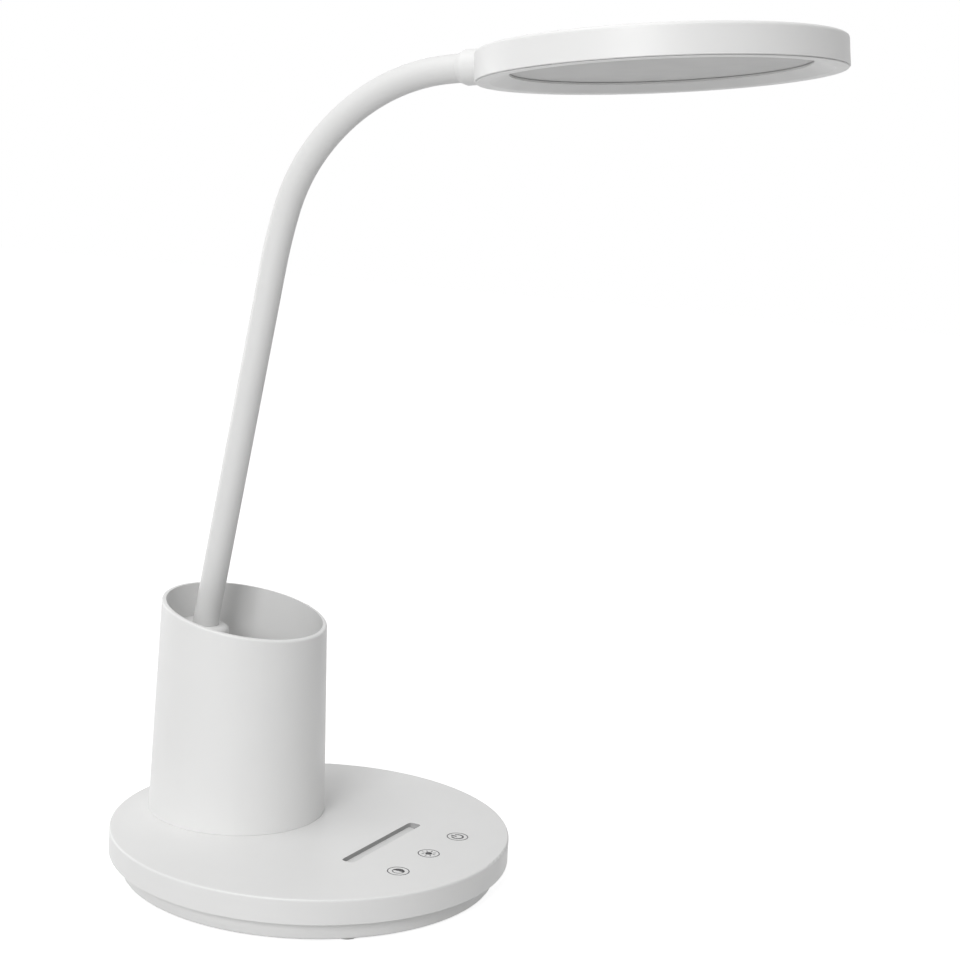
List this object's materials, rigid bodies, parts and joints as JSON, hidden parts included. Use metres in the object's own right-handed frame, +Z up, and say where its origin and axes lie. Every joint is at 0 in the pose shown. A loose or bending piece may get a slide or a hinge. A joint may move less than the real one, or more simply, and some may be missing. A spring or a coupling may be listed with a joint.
{
  "type": "desk lamp",
  "caption": "Desk lamp on a round base with a slant-cut pen cup, a phone groove, a flexible gooseneck and a flat round LED head.",
  "frame": {"origin": "centre of the base on the surface that the feet stand on", "axes": "+Z up; -Y to the front, where the head reaches out and the touch marks lie; +X to the viewer's right when the lamp's front is looked at"},
  "size_m": [0.19, 0.3243, 0.3986],
  "materials": {
    "white_shell": "fine matte moulded ABS, near white",
    "soft_sleeve": "smooth soft silicone sleeve, near white",
    "hose_steel": "plain steel",
    "foot_rubber": "soft light grey rubber",
    "weight_steel": "zinc-plated steel plate",
    "screw_steel": "zinc-plated screws",
    "board_green": "solder-masked board",
    "chip_black": "moulded packages and plugs",
    "spring_steel": "plated spring wire",
    "battery_foil": "foil pouch in a thin film",
    "foam_tape": "double-sided foam tape",
    "inlet_metal": "bright plated shell",
    "lead_white": "soft sheath",
    "frosted_diffuser": "frosted opal sheet",
    "clear_guide": "clear acrylic light guide",
    "white_reflector": "white film",
    "plain_aluminium": "plain sheet",
    "led_lens": "clear yellow encapsulant"
  },
  "bodies": {
    "base": {"base_top_cover": "white_shell", "base_bottom_cover": "white_shell", "rubber_feet": "foot_rubber", "weight_plate": "weight_steel", "weight_screws": "screw_steel", "cover_screws": "screw_steel", "main_board": "board_green", "board_parts": "chip_black", "board_screws": "screw_steel", "touch_springs": "spring_steel", "battery": "battery_foil", "battery_tape": "foam_tape", "inlet_socket": "inlet_metal", "inlet_board": "board_green", "pen_cup": "white_shell", "cup_screws": "screw_steel", "foot_ferrule": "hose_steel", "foot_nut": "hose_steel", "base_leads": "lead_white", "gooseneck_sleeve_0": "soft_sleeve", "gooseneck_hose_0": "hose_steel"},
    "link_01": {"gooseneck_sleeve_1": "soft_sleeve", "gooseneck_hose_1": "hose_steel"},
    "link_02": {"gooseneck_sleeve_2": "soft_sleeve", "gooseneck_hose_2": "hose_steel"},
    "link_03": {"gooseneck_sleeve_3": "soft_sleeve", "gooseneck_hose_3": "hose_steel"},
    "link_04": {"gooseneck_sleeve_4": "soft_sleeve", "gooseneck_hose_4": "hose_steel"},
    "link_05": {"gooseneck_sleeve_5": "soft_sleeve", "gooseneck_hose_5": "hose_steel"},
    "link_06": {"gooseneck_sleeve_6": "soft_sleeve", "gooseneck_hose_6": "hose_steel"},
    "link_07": {"gooseneck_sleeve_7": "soft_sleeve", "gooseneck_hose_7": "hose_steel"},
    "link_08": {"gooseneck_sleeve_8": "soft_sleeve", "gooseneck_hose_8": "hose_steel"},
    "link_09": {"gooseneck_sleeve_9": "soft_sleeve", "gooseneck_hose_9": "hose_steel"},
    "link_10": {"gooseneck_sleeve_10": "soft_sleeve", "gooseneck_hose_10": "hose_steel"},
    "link_11": {"gooseneck_sleeve_11": "soft_sleeve", "gooseneck_hose_11": "hose_steel"},
    "head": {"gooseneck_sleeve_12": "soft_sleeve", "gooseneck_hose_12": "hose_steel", "neck_ferrule": "hose_steel", "head_shell": "white_shell", "bezel_ring": "white_shell", "diffuser": "frosted_diffuser", "light_guide": "clear_guide", "reflector_sheet": "white_reflector", "back_plate": "plain_aluminium", "led_strip": "board_green", "leds": "led_lens", "head_board": "board_green", "head_lead": "lead_white"}
  },
  "joints": [
    {"name": "lower_fore", "type": "hinge", "parent": "base", "child": "link_01", "pos_m": [0, 0.06392, 0.12182], "axis": [1, 0, 0], "range_deg": [-8, 8]},
    {"name": "lower_side", "type": "hinge", "parent": "link_01", "child": "link_02", "pos_m": [0, 0.05909, 0.1492], "axis": [0, 0.9848, 0.1736], "range_deg": [-9, 9]},
    {"name": "lower_fore_03", "type": "hinge", "parent": "link_02", "child": "link_03", "pos_m": [0, 0.05426, 0.17657], "axis": [1, 0, 0], "range_deg": [-8, 8]},
    {"name": "lower_fore_04", "type": "hinge", "parent": "link_03", "child": "link_04", "pos_m": [0, 0.04943, 0.20395], "axis": [1, 0, 0], "range_deg": [-8, 8]},
    {"name": "lower_side_05", "type": "hinge", "parent": "link_04", "child": "link_05", "pos_m": [0, 0.04461, 0.23133], "axis": [0, 0.9848, 0.1736], "range_deg": [-9, 9]},
    {"name": "lower_fore_06", "type": "hinge", "parent": "link_05", "child": "link_06", "pos_m": [0, 0.03978, 0.25871], "axis": [1, 0, 0], "range_deg": [-8, 8]},
    {"name": "upper_fore", "type": "hinge", "parent": "link_06", "child": "link_07", "pos_m": [0, 0.03495, 0.28608], "axis": [1, 0, 0], "range_deg": [-14, 14]},
    {"name": "upper_side", "type": "hinge", "parent": "link_07", "child": "link_08", "pos_m": [0, 0.02847, 0.3131], "axis": [0, 0.9563, 0.2924], "range_deg": [-14, 14]},
    {"name": "upper_fore_09", "type": "hinge", "parent": "link_08", "child": "link_09", "pos_m": [0, 0.01612, 0.33786], "axis": [1, 0, 0], "range_deg": [-14, 14]},
    {"name": "upper_fore_10", "type": "hinge", "parent": "link_09", "child": "link_10", "pos_m": [0, -0.00313, 0.3578], "axis": [1, 0, 0], "range_deg": [-14, 14]},
    {"name": "upper_side_11", "type": "hinge", "parent": "link_10", "child": "link_11", "pos_m": [0, -0.02713, 0.37165], "axis": [0, 0.3746, 0.9272], "range_deg": [-14, 14]},
    {"name": "upper_fore_12", "type": "hinge", "parent": "link_11", "child": "head", "pos_m": [0, -0.05401, 0.37836], "axis": [1, 0, 0], "range_deg": [-14, 14]}
  ],
  "couplings": [
    {"joint": "lower_fore_03", "follows": "lower_fore", "ratio": 1},
    {"joint": "lower_fore_04", "follows": "lower_fore", "ratio": 1},
    {"joint": "lower_side_05", "follows": "lower_side", "ratio": 1},
    {"joint": "lower_fore_06", "follows": "lower_fore", "ratio": 1},
    {"joint": "upper_fore_09", "follows": "upper_fore", "ratio": 1},
    {"joint": "upper_fore_10", "follows": "upper_fore", "ratio": 1},
    {"joint": "upper_side_11", "follows": "upper_side", "ratio": 1},
    {"joint": "upper_fore_12", "follows": "upper_fore", "ratio": 1}
  ]
}
